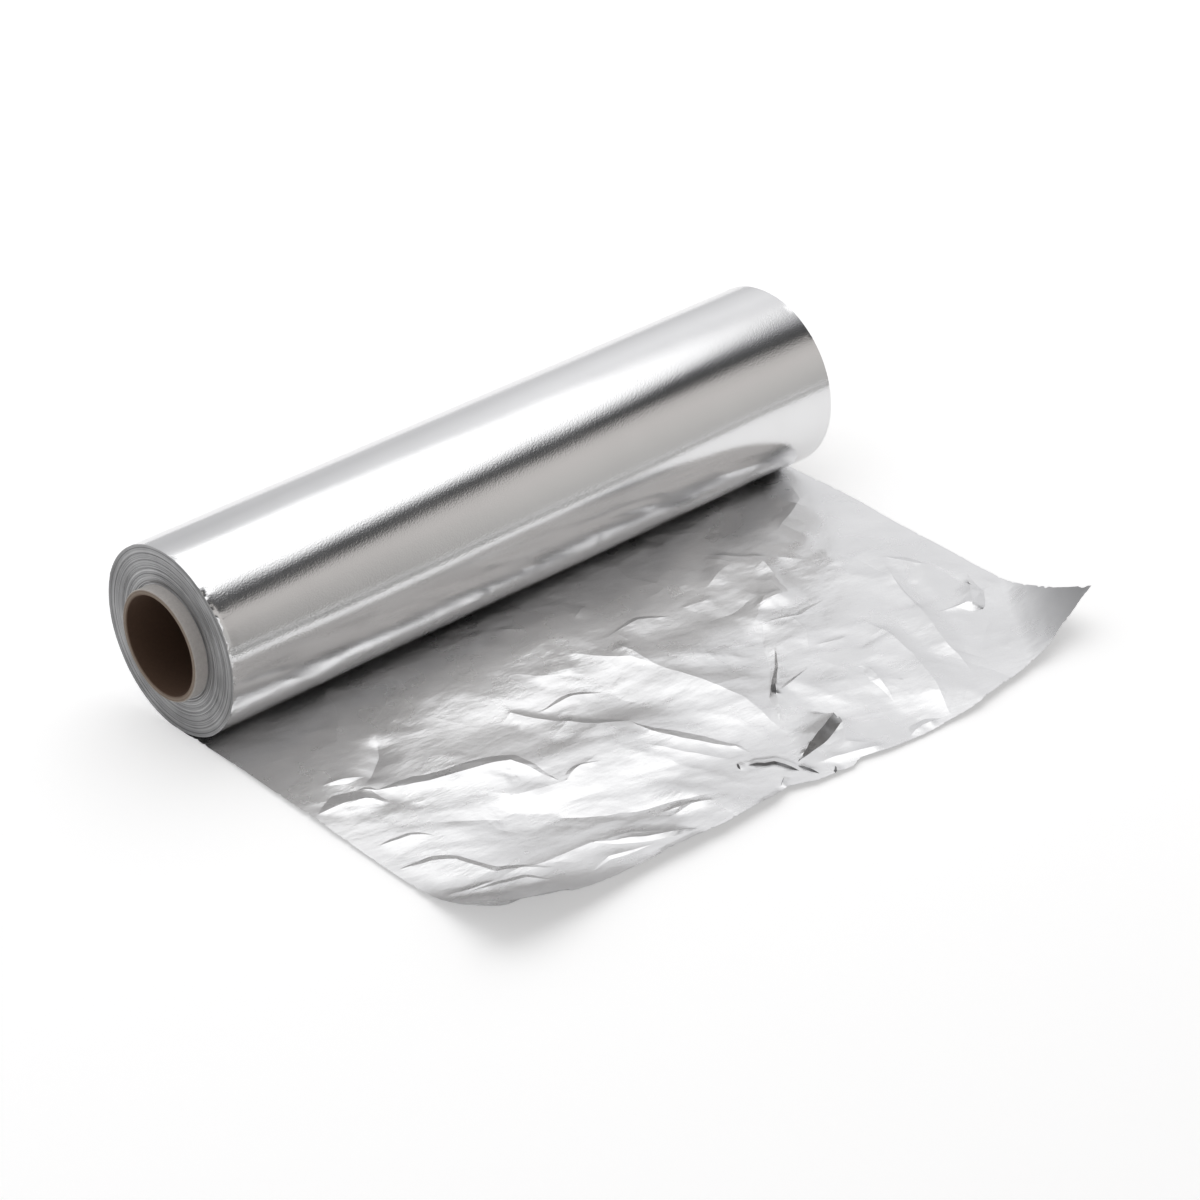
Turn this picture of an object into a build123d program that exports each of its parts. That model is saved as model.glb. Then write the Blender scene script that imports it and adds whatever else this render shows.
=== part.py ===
from build123d import *
import math
import os
import random

# Driving dimensions, in millimetres. The roll lies along X on the plane z = 0, with its
# middle over the origin, and the free end of the foil runs out towards -Y.
foil_width = 300.0
wound_thickness = 15.5
flat_spot_width = 6.0
core_outer_diameter = 44.0
core_wall = 2.3
core_projection = 5.0
core_edge_chamfer = 0.3

# The free sheet. Its thickness stands for foil a few hundredths of a millimetre thick.
sheet_length = 189.0
sheet_thickness = 0.3
nip_run = 12.0
settling_run = 30.0
side_wander = 0.9

# The ends of the winding, where groups of turns stand at slightly different depths
end_relief = 0.7

# Relief of the crumpled sheet. A crease is steepest at its crest and fades to both sides.
crease_height = 3.0
crease_reach = 24.0
crease_power = 1.6
crease_taper_share = 0.24
side_calm_width = 14.0
side_calm_share = 0.35
dent_height = 0.3
bed_height = 1.3

# The sheet rises as it leaves the roll, falls again, and lifts towards its front edge
hump_height = 3.3
hump_start = 2.0
hump_rise = 44.0
hump_top = 38.0
hump_fall = 58.0
front_lift_height = 3.4
front_lift_run = 50.0

# The one sharp flap near the front edge
flap_height = 3.0
flap_front_run = 4.5
flap_back_run = 12.0
flap_point_share = 0.5
flap_blunt_share = 0.05

# The curled front corners
left_curl_height = 13.5
left_curl_width = 90.0
left_curl_length = 54.0
left_curl_power = 2.0
right_curl_height = 15.5
right_curl_width = 40.0
right_curl_length = 46.0
right_curl_power = 1.5

# Facets of the crumpled sheet, counted across its width and along its length. A corner
# closer to a crease than snap_share of a facet is moved onto it.
facets_across = 46
facets_along = 29
facet_wander_share = 0.16
snap_share = 0.40
sliver_share = 0.12
facet_seed = 11
side_waves = 5

# Depth of each group of turns, as shares of end_relief, with the share of the wound
# thickness at which the group ends. The first is the groove round the core.
turn_group_shares = [
    (0.05, 1.00),
    (0.15, 0.62),
    (0.31, 0.36),
    (0.44, 0.52),
    (0.60, 0.24),
    (0.76, 0.42),
    (0.86, 0.14),
    (0.92, 0.48),
    (1.00, 0.00),
]

# The torn front edge: share of the width, then share of the sheet's length it reaches
front_edge_shares = [
    (0.00, 0.962),
    (0.08, 0.974),
    (0.17, 0.970),
    (0.25, 0.966),
    (0.34, 0.972),
    (0.42, 0.966),
    (0.46, 0.956),
    (0.50, 0.976),
    (0.55, 0.984),
    (0.57, 0.974),
    (0.62, 0.992),
    (0.70, 1.000),
    (0.76, 0.999),
    (0.80, 0.988),
    (0.86, 0.978),
    (0.93, 0.957),
    (1.00, 0.940),
]

# How strongly the hump and the front's lift show, by share of the width
hump_shares = [(0.0, 0.2), (0.15, 0.45), (0.3, 1.0), (0.45, 1.0), (0.6, 0.6), (1.0, 0.4)]
front_lift_shares = [(0.0, 1.0), (0.38, 1.0), (0.54, 0.0), (0.7, 0.0), (0.8, 0.4), (1.0, 0.4)]

# The crest of the flap, pointed at its first end and blunt at its last
flap_shares = [(0.500, 0.895), (0.56, 0.855), (0.625, 0.815)]

# Creases: the points each one passes, as shares of the width and of the length, its height
# as a share of crease_height, and how far it reaches on its right-hand and its left-hand
# side as shares of crease_reach. A negative height is a valley.
crease_shares = [
    ([(0.10, 0.42), (0.19, 0.44), (0.25, 0.50), (0.25, 0.58), (0.28, 0.65)], 0.43, 0.75, 0.30),
    ([(0.29, 0.42), (0.32, 0.40), (0.36, 0.48), (0.41, 0.60), (0.46, 0.74), (0.54, 0.80)], 0.30, 0.55, 0.20),
    ([(0.45, 0.32), (0.51, 0.42), (0.54, 0.59), (0.55, 0.68), (0.54, 0.81)], 0.63, 1.45, 1.20),
    ([(0.71, 0.47), (0.65, 0.57), (0.59, 0.67), (0.58, 0.69)], -0.50, 0.48, 0.30),
    ([(0.58, 0.69), (0.55, 0.77), (0.54, 0.82)], -0.27, 0.24, 0.24),
    ([(0.59, 0.69), (0.67, 0.68), (0.76, 0.65)], 0.20, 0.36, 0.13),
    ([(0.91, 0.43), (0.93, 0.49), (0.88, 0.59), (0.85, 0.71), (0.83, 0.83), (0.81, 0.89)], -0.47, 0.66, 0.54),
    ([(0.76, 0.81), (0.73, 0.92), (0.70, 1.00)], -0.40, 0.48, 0.42),
    ([(0.97, 0.65), (0.95, 0.69), (0.91, 0.75)], 0.37, 0.48, 0.13),
    ([(0.99, 0.72), (0.93, 0.78), (0.84, 0.88), (0.71, 1.01)], -0.27, 0.54, 0.85),
    ([(0.45, 0.83), (0.49, 0.87), (0.50, 0.92), (0.51, 0.95)], 0.27, 0.30, 0.10),
    ([(0.39, 0.66), (0.42, 0.74), (0.47, 0.79)], 0.17, 0.36, 0.30),
    ([(0.62, 0.84), (0.58, 0.92), (0.60, 0.95)], 0.23, 0.30, 0.24),
    ([(0.34, 0.88), (0.39, 0.92), (0.45, 0.95)], 0.33, 0.24, 0.54),
    ([(0.52, 0.93), (0.58, 0.96), (0.62, 0.99)], 0.20, 0.18, 0.36),
    ([(0.19, 0.05), (0.16, 0.18), (0.12, 0.28)], 0.23, 0.54, 0.48),
    ([(0.17, 0.26), (0.14, 0.37), (0.09, 0.42)], 0.30, 0.48, 0.36),
    ([(0.02, 0.35), (0.06, 0.40), (0.11, 0.45)], 0.27, 0.42, 0.24),
    ([(0.52, 0.35), (0.52, 0.48)], 0.17, 0.24, 0.42),
    ([(0.10, 0.60), (0.18, 0.68), (0.25, 0.77), (0.31, 0.82), (0.38, 0.88)], -0.40, 0.90, 0.72),
    ([(0.01, 0.64), (0.07, 0.72), (0.10, 0.77), (0.13, 0.83), (0.17, 0.85)], 0.17, 0.85, 0.18),
    ([(0.08, 0.81), (0.13, 0.83), (0.20, 0.84), (0.26, 0.87), (0.29, 0.92)], 0.23, 0.36, 0.24),
    ([(0.04, 0.86), (0.10, 0.89), (0.18, 0.92)], 0.23, 0.18, 0.30),
    ([(0.96, 0.07), (0.92, 0.17), (0.93, 0.23), (0.95, 0.26)], 0.23, 0.48, 0.48),
    ([(0.83, 0.24), (0.87, 0.26), (0.96, 0.23)], 0.20, 0.42, 0.30),
    ([(0.74, 0.24), (0.76, 0.30), (0.69, 0.33)], 0.17, 0.30, 0.36),
    ([(0.76, 0.34), (0.77, 0.46), (0.70, 0.45)], 0.23, 0.42, 0.36),
    ([(0.66, 0.51), (0.74, 0.44), (0.79, 0.45)], 0.23, 0.60, 0.54),
]

# Sizes that follow from the ones above
core_radius = core_outer_diameter / 2
bore_radius = core_radius - core_wall
roll_radius = core_radius + wound_thickness
flat_half_width = flat_spot_width / 2
axis_height = math.sqrt(roll_radius**2 - flat_half_width**2)
core_length = foil_width + 2 * core_projection


def core_tube():
    """The cardboard tube that the foil is wound on, open from end to end."""
    outline = Plane.YZ * Pos(0, axis_height) * (Circle(core_radius) - Circle(bore_radius))
    tube = extrude(outline, core_length / 2, both=True)
    rims = tube.edges().filter_by(GeomType.CIRCLE)
    return chamfer(rims, core_edge_chamfer)


def end_profile(side):
    """Points of one stepped end of the winding, from the core out to the last turn."""
    points = []
    start_radius = core_radius
    for radius_share, depth_share in turn_group_shares:
        face = side * (foil_width / 2 - depth_share * end_relief)
        end_radius = core_radius + radius_share * wound_thickness
        points.append((face, start_radius))
        points.append((face, end_radius))
        start_radius = end_radius
    return points


def winding():
    """All the wound turns as one ring about the core, with a small flat it rests on."""
    left = end_profile(-1)
    right = end_profile(1)
    right.reverse()
    section = make_face(Polyline(*left, *right, close=True))
    ring = Pos(0, 0, axis_height) * revolve(section, Axis.X)
    under = (Align.CENTER, Align.CENTER, Align.MAX)
    below = Box(core_length, 2 * roll_radius, 2 * roll_radius, align=under)
    return ring - below


def between(table, share):
    """A value read from a table of share pairs, straight between its rows."""
    for (low, low_value), (high, high_value) in zip(table, table[1:]):
        if share <= high:
            return low_value + (high_value - low_value) * (share - low) / (high - low)
    return table[-1][1]


def smooth(value):
    """A step from 0 to 1 that starts and ends gently."""
    value = min(max(value, 0), 1)
    return value * value * (3 - 2 * value)


def nearest_stretch(place, corners):
    """How far a place is from a bent line, on which side, and the share of it passed."""
    lengths = [math.dist(a, b) for a, b in zip(corners, corners[1:])]
    passed = 0
    best = None
    for a, b, length in zip(corners, corners[1:], lengths):
        ahead_x, ahead_y = (b[0] - a[0]) / length, (b[1] - a[1]) / length
        from_x, from_y = place[0] - a[0], place[1] - a[1]
        along = min(max(from_x * ahead_x + from_y * ahead_y, 0), length)
        away = math.hypot(from_x - ahead_x * along, from_y - ahead_y * along)
        if best is None or away < best[0]:
            side = ahead_x * from_y - ahead_y * from_x
            best = (away, side, (passed + along) / sum(lengths))
        passed += length
    return best


def in_sheet(points):
    """Points given as shares of the free sheet, in millimetres from its left corner."""
    return [(u * foil_width, v * sheet_length) for u, v in points]


creases = [(in_sheet(points), *rest) for points, *rest in crease_shares]
flap = in_sheet(flap_shares)


def crease_relief(place):
    """What all the creases add at one place."""
    total = 0
    for corners, height_share, right_share, left_share in creases:
        away, side, share = nearest_stretch(place, corners)
        taper = min(share / crease_taper_share, (1 - share) / crease_taper_share, 1)
        reach = crease_reach * (right_share if side > 0 else left_share)
        total += height_share * crease_height * max(taper - away / reach, 0) ** crease_power
    return total


def flap_relief(place):
    """The flap: a steep side towards the front edge and a long slope behind it."""
    away, side, share = nearest_stretch(place, flap)
    taper = min(share / flap_point_share, (1 - share) / flap_blunt_share, 1)
    run = flap_front_run if side > 0 else flap_back_run
    return flap_height * max(taper - away / run, 0)


def hump(across, run):
    arch = smooth((run - hump_start) / hump_rise) * (1 - smooth((run - hump_top) / hump_fall))
    return hump_height * between(hump_shares, across) * arch


def front_lift(across, run):
    rise = smooth((run - sheet_length + front_lift_run) / front_lift_run)
    return front_lift_height * between(front_lift_shares, across) * rise


def curl(reach_across, reach_along, height, power):
    """The lift of a curled front corner, from how far a place is from it."""
    rise = max(1 - reach_across - reach_along, 0)
    return height * rise**power


def sheet_height(across, along, dent):
    """The height of the sheet's underside above the plane that the roll lies on."""
    run = along * sheet_length
    place = (across * foil_width, run)
    from_side = min(across, 1 - across) * foil_width
    calm = side_calm_share + (1 - side_calm_share) * smooth(from_side / side_calm_width)
    lift = bed_height + hump(across, run) + front_lift(across, run) + dent * dent_height
    lift += calm * crease_relief(place) + flap_relief(place)
    settled = smooth((run - nip_run) / settling_run)
    from_front = max((between(front_edge_shares, across) - along) * sheet_length, 0)
    left = curl(
        across * foil_width / left_curl_width,
        from_front / left_curl_length,
        left_curl_height,
        left_curl_power,
    )
    right = curl(
        (1 - across) * foil_width / right_curl_width,
        from_front / right_curl_length,
        right_curl_height,
        right_curl_power,
    )
    return max(settled * lift, 0) + left + right


def onto_crease(across, along, cell_across, cell_along):
    """Moves a facet's corner onto the nearest crease, if one passes close to it."""
    place = complex(across / cell_across, along / cell_along)
    best, best_away = place, snap_share
    for points in [points for points, *_ in crease_shares] + [flap_shares]:
        corners = [complex(u / cell_across, v / cell_along) for u, v in points]
        for a, b in zip(corners, corners[1:]):
            share = ((place - a) / (b - a)).real
            spot = a + (b - a) * share
            if 0 < share < 1 and abs(place - spot) < best_away:
                best, best_away = spot, abs(place - spot)
    return best.real * cell_across, best.imag * cell_along


def sheet_nodes():
    """Rows of (share across, share along, height), the corners of the sheet's facets."""
    chance = random.Random(facet_seed)
    nip_share = nip_run / sheet_length
    cell_across = 1 / facets_across
    cell_along = (1 - nip_share) / (facets_along - 1)
    rows = [[(i * cell_across, 0, 0) for i in range(facets_across + 1)]]
    for j in range(facets_along):
        row = []
        for i in range(facets_across + 1):
            inner = 0 < i < facets_across
            free = 0 < j < facets_along - 1
            across = i * cell_across + inner * cell_across * chance.uniform(-1, 1) * facet_wander_share
            wander = free * cell_along * chance.uniform(-1, 1) * facet_wander_share
            reach = nip_share + j * cell_along + wander
            front = between(front_edge_shares, across)
            along = nip_share + (reach - nip_share) * (front - nip_share) / (1 - nip_share)
            if inner and free:
                across, along = onto_crease(across, along, cell_across, cell_along)
            height = sheet_height(across, along, chance.uniform(-1, 1))
            row.append((across, along, height))
        rows.append(row)
    return rows


def sheet_point(node, lift):
    """The place of a node in millimetres, on the underside or lifted to the upper side."""
    across, along, height = node
    settled = smooth((along * sheet_length - nip_run) / settling_run)
    edge = abs(2 * across - 1) ** facets_across
    wave = settled * side_wander * math.sin(math.tau * along * side_waves) * edge
    x = (across - 1 / 2) * foil_width - wave
    return Vector(x, -along * sheet_length, height + lift)


def plan_share(a, b, c):
    """The area of a triangle seen from above, as a share of an even facet cell's."""
    twice = (b[0] - a[0]) * (c[1] - a[1]) - (b[1] - a[1]) * (c[0] - a[0])
    return twice / 2 * facets_across * facets_along


def split_quad(a, b, c, d):
    """Two triangles over a quad: neither a sliver, and folded along the creases if both fit."""
    first = [(a, b, c), (a, c, d)]
    second = [(a, b, d), (b, c, d)]
    first_least = min(plan_share(*corners) for corners in first)
    second_least = min(plan_share(*corners) for corners in second)
    if min(first_least, second_least) < sliver_share:
        return first if first_least > second_least else second
    u = sum(node[0] for node in (a, b, c, d)) / 4
    v = sum(node[1] for node in (a, b, c, d)) / 4
    middle = sheet_height(u, v, 0)
    first_gap = abs(middle - (a[2] + c[2]) / 2)
    second_gap = abs(middle - (b[2] + d[2]) / 2)
    return first if first_gap < second_gap else second


def flat_facet(corners):
    return Face(Wire.make_polygon(corners, close=True))


def loose_sheet():
    """The unrolled sheet as a closed skin of flat facets, level where it leaves the roll."""
    rows = sheet_nodes()
    facets = []
    for near, far in zip(rows, rows[1:]):
        for i in range(facets_across):
            for triangle in split_quad(near[i], near[i + 1], far[i + 1], far[i]):
                facets.append(flat_facet([sheet_point(node, sheet_thickness) for node in triangle]))
                facets.append(flat_facet([sheet_point(node, 0) for node in triangle]))
    left = [row[0] for row in rows]
    right = [row[-1] for row in rows]
    for rim in (left, right, rows[0], rows[-1]):
        for a, b in zip(rim, rim[1:]):
            low_a, low_b = sheet_point(a, 0), sheet_point(b, 0)
            high_a, high_b = sheet_point(a, sheet_thickness), sheet_point(b, sheet_thickness)
            facets.append(flat_facet([low_a, low_b, high_b]))
            facets.append(flat_facet([low_a, high_b, high_a]))
    return Solid(Shell(facets))


def foil():
    """The wound turns and the sheet drawn off under them, one length of foil."""
    return winding() + loose_sheet()


os.makedirs("parts", exist_ok=True)
export_step(core_tube(), "parts/core_tube.step")
export_step(foil(), "parts/foil.step")
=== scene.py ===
import math

import bpy
import numpy as np
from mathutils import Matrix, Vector, geometry


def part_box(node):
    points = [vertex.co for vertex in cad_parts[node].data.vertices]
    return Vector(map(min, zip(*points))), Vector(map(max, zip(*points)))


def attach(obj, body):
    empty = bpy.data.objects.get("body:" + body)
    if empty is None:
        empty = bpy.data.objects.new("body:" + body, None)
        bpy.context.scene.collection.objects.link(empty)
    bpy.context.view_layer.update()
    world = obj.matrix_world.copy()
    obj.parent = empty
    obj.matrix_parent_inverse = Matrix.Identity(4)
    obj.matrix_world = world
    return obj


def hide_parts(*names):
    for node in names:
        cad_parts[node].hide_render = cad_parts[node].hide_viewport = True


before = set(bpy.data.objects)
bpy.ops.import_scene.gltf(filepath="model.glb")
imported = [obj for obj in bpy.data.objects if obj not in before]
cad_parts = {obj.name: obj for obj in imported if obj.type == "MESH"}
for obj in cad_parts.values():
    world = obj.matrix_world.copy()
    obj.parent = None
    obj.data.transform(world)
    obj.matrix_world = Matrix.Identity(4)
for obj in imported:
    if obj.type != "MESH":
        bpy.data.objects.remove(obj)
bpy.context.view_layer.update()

MM = 0.001

# Sizes read from the frame, in metres
tube_low, tube_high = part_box("core_tube")
foil_low, foil_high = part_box("foil")
axis_height = (tube_low.z + tube_high.z) / 2
tube_radius = (tube_high.y - tube_low.y) / 2
tube_half_length = tube_high.x
roll_radius = foil_high.z - axis_height
wound = roll_radius - tube_radius
sheet_length = -foil_low.y

# Sizes that no box of the frame holds by itself
half_width = 150 * MM
tube_wall = 2.3 * MM
bore_radius = tube_radius - tube_wall


# Camera: its place and the way it looks, in metres, and its lens and sensor in millimetres

CAMERA_PLACE = (-0.84308, -1.00083, 0.80792)
CAMERA_DIRECTION = (0.56832, 0.63010, -0.52913)
CAMERA_LENS = 118.68
CAMERA_SENSOR = 36


def make_camera():
    data = bpy.data.cameras.new("camera")
    data.lens = CAMERA_LENS
    data.sensor_width = CAMERA_SENSOR
    camera = bpy.data.objects.new("camera", data)
    camera.location = CAMERA_PLACE
    camera.rotation_euler = Vector(CAMERA_DIRECTION).to_track_quat("-Z", "Y").to_euler()
    bpy.context.scene.collection.objects.link(camera)
    bpy.context.scene.camera = camera


make_camera()


# Mesh helpers

def piece_from(name, points, faces, material, smooth=True):
    """A new object in the scene from points in metres and faces that index them."""
    mesh = bpy.data.meshes.new(name)
    mesh.from_pydata([tuple(p) for p in points], [], [tuple(f) for f in faces])
    mesh.materials.append(material)
    mesh.update()
    if smooth:
        mesh.shade_smooth()
    thing = bpy.data.objects.new(name, mesh)
    bpy.context.scene.collection.objects.link(thing)
    return thing


def mark_smooth_by_angle(thing, degrees=30):
    """Smooth shading, with edges sharper than this left crisp."""
    thing.data.shade_smooth()
    thing.data.set_sharp_from_angle(angle=math.radians(degrees))


def smoothstep(value):
    """An even rise from 0 to 1 that starts and ends level."""
    value = np.clip(value, 0, 1)
    return value * value * (3 - 2 * value)


# Materials

def new_material(name):
    material = bpy.data.materials.new(name)
    material.use_nodes = True
    tree = material.node_tree
    return material, tree.nodes, tree.links, tree.nodes["Principled BSDF"]


def noise_node(nodes, links, place, scale, detail, roughness=0.5):
    node = nodes.new("ShaderNodeTexNoise")
    node.inputs["Scale"].default_value = scale
    node.inputs["Detail"].default_value = detail
    node.inputs["Roughness"].default_value = roughness
    links.new(place, node.inputs["Vector"])
    return node


def ramp_node(nodes, links, value, stops):
    node = nodes.new("ShaderNodeValToRGB")
    ramp = node.color_ramp
    while len(ramp.elements) < len(stops):
        ramp.elements.new(0.5)
    for element, (position, colour) in zip(ramp.elements, stops):
        element.position = position
        element.color = (*colour, 1)
    links.new(value, node.inputs["Fac"])
    return node


def range_node(nodes, links, value, low, high, to_low, to_high):
    node = nodes.new("ShaderNodeMapRange")
    node.inputs["From Min"].default_value = low
    node.inputs["From Max"].default_value = high
    node.inputs["To Min"].default_value = to_low
    node.inputs["To Max"].default_value = to_high
    links.new(value, node.inputs["Value"])
    return node


def math_node(nodes, links, operation, first, second=None):
    node = nodes.new("ShaderNodeMath")
    node.operation = operation
    for socket, value in zip(node.inputs, (first, second)):
        if isinstance(value, (int, float)):
            socket.default_value = value
        elif value is not None:
            links.new(value, socket)
    return node.outputs["Value"]


def mapped(nodes, links, place, scale, turn=0.0):
    """The place turned about Z and then stretched, for streaks and long cells."""
    node = nodes.new("ShaderNodeMapping")
    node.inputs["Rotation"].default_value = (0, 0, turn)
    node.inputs["Scale"].default_value = scale
    links.new(place, node.inputs["Vector"])
    return node.outputs["Vector"]


def bump_node(nodes, links, height, strength, distance, normal=None):
    node = nodes.new("ShaderNodeBump")
    node.inputs["Strength"].default_value = strength
    node.inputs["Distance"].default_value = distance
    links.new(height, node.inputs["Height"])
    if normal is not None:
        links.new(normal, node.inputs["Normal"])
    return node.outputs["Normal"]


def multiplied(nodes, links, first, second):
    """Two colours multiplied."""
    node = nodes.new("ShaderNodeMix")
    node.data_type = "RGBA"
    node.blend_type = "MULTIPLY"
    node.inputs["Factor"].default_value = 1
    links.new(first, node.inputs["A"])
    links.new(second, node.inputs["B"])
    return node.outputs["Result"]


def radius_from_axis(nodes, links, place):
    """The distance of a point from the roll's axis, in metres."""
    shift = nodes.new("ShaderNodeVectorMath")
    shift.operation = "MULTIPLY_ADD"
    shift.inputs[1].default_value = (0, 1, 1)
    shift.inputs[2].default_value = (0, 0, -axis_height)
    links.new(place, shift.inputs[0])
    length = nodes.new("ShaderNodeVectorMath")
    length.operation = "LENGTH"
    links.new(shift.outputs["Vector"], length.inputs[0])
    return length.outputs["Value"]


def foil_material(name, tint, roughness, spread):
    """Rolled aluminium with faint patches and the fine streaks of rolling round the roll."""
    material, nodes, links, shader = new_material(name)
    place = nodes.new("ShaderNodeTexCoord").outputs["Object"]
    shader.inputs["Metallic"].default_value = 1
    patches = noise_node(nodes, links, place, scale=35, detail=4, roughness=0.6).outputs["Fac"]
    rough = range_node(nodes, links, patches, 0.3, 0.7, roughness - spread, roughness + spread)
    links.new(rough.outputs["Result"], shader.inputs["Roughness"])
    dark = tuple(c * 0.96 for c in tint)
    shade = ramp_node(nodes, links, patches, [(0.3, dark), (0.7, tint)])
    links.new(shade.outputs["Color"], shader.inputs["Base Color"])
    drawn_out = mapped(nodes, links, place, (3000, 40, 40))
    streaks = noise_node(nodes, links, drawn_out, scale=1, detail=2).outputs["Fac"]
    normal = bump_node(nodes, links, streaks, strength=0.2, distance=0.03 * MM)
    return material, nodes, links, shader, place, normal


def roll_material():
    """The bright outer side: close to a mirror, with a pebbled grain and long soft dents."""
    material, nodes, links, shader, place, normal = foil_material(
        "foil_bright_side", tint=(0.88, 0.88, 0.885), roughness=0.13, spread=0.02)
    grain = noise_node(nodes, links, place, scale=1500, detail=1, roughness=0.6).outputs["Fac"]
    normal = bump_node(nodes, links, grain, strength=1.0, distance=0.03 * MM, normal=normal)
    long_cells = mapped(nodes, links, place, (9, 45, 45))
    dents = noise_node(nodes, links, long_cells, scale=1, detail=2).outputs["Fac"]
    normal = bump_node(nodes, links, dents, strength=0.5, distance=0.5 * MM, normal=normal)
    links.new(normal, shader.inputs["Normal"])
    return material


def sheet_material():
    """The satin inner side, with fine wrinkles between the folds and painted shade that darkens its steep
    creases.
    """
    material, nodes, links, shader, place, normal = foil_material(
        "foil_satin_side", tint=(0.84, 0.84, 0.845), roughness=0.29, spread=0.05)
    slanted = mapped(nodes, links, place, (110, 230, 0), math.radians(30))
    wrinkles = noise_node(nodes, links, slanted, scale=1, detail=4, roughness=0.62).outputs["Fac"]
    normal = bump_node(nodes, links, wrinkles, strength=0.6, distance=0.35 * MM, normal=normal)
    links.new(normal, shader.inputs["Normal"])
    # Painted shade: the base colour is multiplied by a grey that falls to 0.30 where the surface normal
    # turns steep (its Z from 0.90 down to 0.72), darkening the creases as if shaded.
    normal_parts_for_painted_shade = nodes.new("ShaderNodeSeparateXYZ")
    links.new(nodes.new("ShaderNodeNewGeometry").outputs["Normal"], normal_parts_for_painted_shade.inputs[0])
    steep = [(0.72, (0.30, 0.30, 0.305)), (0.90, (1, 1, 1))]
    creased = ramp_node(nodes, links, normal_parts_for_painted_shade.outputs["Z"], steep).outputs["Color"]
    shade = shader.inputs["Base Color"].links[0].from_socket
    links.new(multiplied(nodes, links, shade, creased), shader.inputs["Base Color"])
    return material


def end_material():
    """The cut edges of the turns: dull metal in fine, slightly broken rings about the tube."""
    material, nodes, links, shader = new_material("foil_ends")
    place = nodes.new("ShaderNodeTexCoord").outputs["Object"]
    shader.inputs["Metallic"].default_value = 1
    radius = radius_from_axis(nodes, links, place)
    drift = noise_node(nodes, links, place, scale=16, detail=1).outputs["Fac"]
    drift = math_node(nodes, links, "MULTIPLY", drift, 1.6 * MM)
    radius = math_node(nodes, links, "ADD", radius, drift)

    def rings(scale, detail):
        node = nodes.new("ShaderNodeTexNoise")
        node.noise_dimensions = "1D"
        node.inputs["Scale"].default_value = scale
        node.inputs["Detail"].default_value = detail
        links.new(radius, node.inputs["W"])
        return node.outputs["Fac"]

    coarse = rings(1500, 3)
    fine = rings(5200, 2)
    both = math_node(nodes, links, "ADD", math_node(nodes, links, "MULTIPLY", coarse, 0.6),
                     math_node(nodes, links, "MULTIPLY", fine, 0.4))
    shade = ramp_node(nodes, links, both, [
        (0.32, (0.08, 0.08, 0.082)),
        (0.42, (0.28, 0.28, 0.284)),
        (0.56, (0.42, 0.42, 0.425)),
        (0.68, (0.64, 0.64, 0.645)),
    ])
    clouds = noise_node(nodes, links, place, scale=38, detail=3, roughness=0.6).outputs["Fac"]
    tint = ramp_node(nodes, links, clouds, [(0.35, (0.68, 0.68, 0.68)), (0.62, (1, 1, 1))])
    colour = multiplied(nodes, links, shade.outputs["Color"], tint.outputs["Color"])
    links.new(colour, shader.inputs["Base Color"])
    rough = range_node(nodes, links, fine, 0.3, 0.7, 0.32, 0.48)
    links.new(rough.outputs["Result"], shader.inputs["Roughness"])
    normal = bump_node(nodes, links, both, strength=0.8, distance=0.12 * MM)
    links.new(normal, shader.inputs["Normal"])
    return material


def tube_material():
    """Wound board: pale paper outside, brown fibre at the cut ends and in the bore."""
    material, nodes, links, shader = new_material("cardboard")
    place = nodes.new("ShaderNodeTexCoord").outputs["Object"]
    shader.inputs["Roughness"].default_value = 0.85
    radius = radius_from_axis(nodes, links, place)
    share = range_node(nodes, links, radius, bore_radius, tube_radius, 0, 1).outputs["Result"]
    plies = ramp_node(nodes, links, share, [
        (0.0, (0.125, 0.072, 0.045)),
        (0.06, (0.19, 0.135, 0.10)),
        (0.45, (0.34, 0.275, 0.22)),
        (0.68, (0.25, 0.195, 0.155)),
        (0.84, (0.42, 0.365, 0.315)),
        (0.97, (0.62, 0.585, 0.555)),
        (1.0, (0.66, 0.63, 0.605)),
    ])
    fibres = noise_node(nodes, links, place, scale=900, detail=5, roughness=0.65).outputs["Fac"]
    tint = ramp_node(nodes, links, fibres, [(0.3, (0.84, 0.84, 0.84)), (0.7, (1, 1, 1))])
    colour = multiplied(nodes, links, plies.outputs["Color"], tint.outputs["Color"])
    links.new(colour, shader.inputs["Base Color"])
    normal = bump_node(nodes, links, fibres, strength=0.25, distance=0.1 * MM)
    links.new(normal, shader.inputs["Normal"])
    return material


roll_foil = roll_material()
sheet_foil = sheet_material()
end_foil = end_material()
cardboard = tube_material()


# The cardboard tube

TUBE_RIM = 0.3 * MM
TUBE_SEGMENTS = 192


def ring_faces(segments, columns):
    """The faces between neighbouring sections of a ring, each a closed loop of points."""
    faces = []
    for i in range(segments):
        j = (i + 1) % segments
        for k in range(columns):
            m = (k + 1) % columns
            faces.append((i * columns + k, j * columns + k, j * columns + m, i * columns + m))
    return faces


def make_tube():
    """The tube with its cut ends, chamfered a little, and its open bore."""
    rim, half = TUBE_RIM, tube_half_length
    profile = [
        (-half + rim, bore_radius),
        (-half, bore_radius + rim),
        (-half, tube_radius - rim),
        (-half + rim, tube_radius),
        (half - rim, tube_radius),
        (half, tube_radius - rim),
        (half, bore_radius + rim),
        (half - rim, bore_radius),
    ]
    points = []
    for i in range(TUBE_SEGMENTS):
        angle = math.tau * i / TUBE_SEGMENTS
        for x, r in profile:
            points.append((x, r * math.cos(angle), axis_height + r * math.sin(angle)))
    faces = ring_faces(TUBE_SEGMENTS, len(profile))
    tube = piece_from("tube_detailed", points, faces, cardboard, smooth=False)
    mark_smooth_by_angle(tube)
    return tube


tube = make_tube()
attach(tube, "root")
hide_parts("core_tube")


# The wound turns

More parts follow.
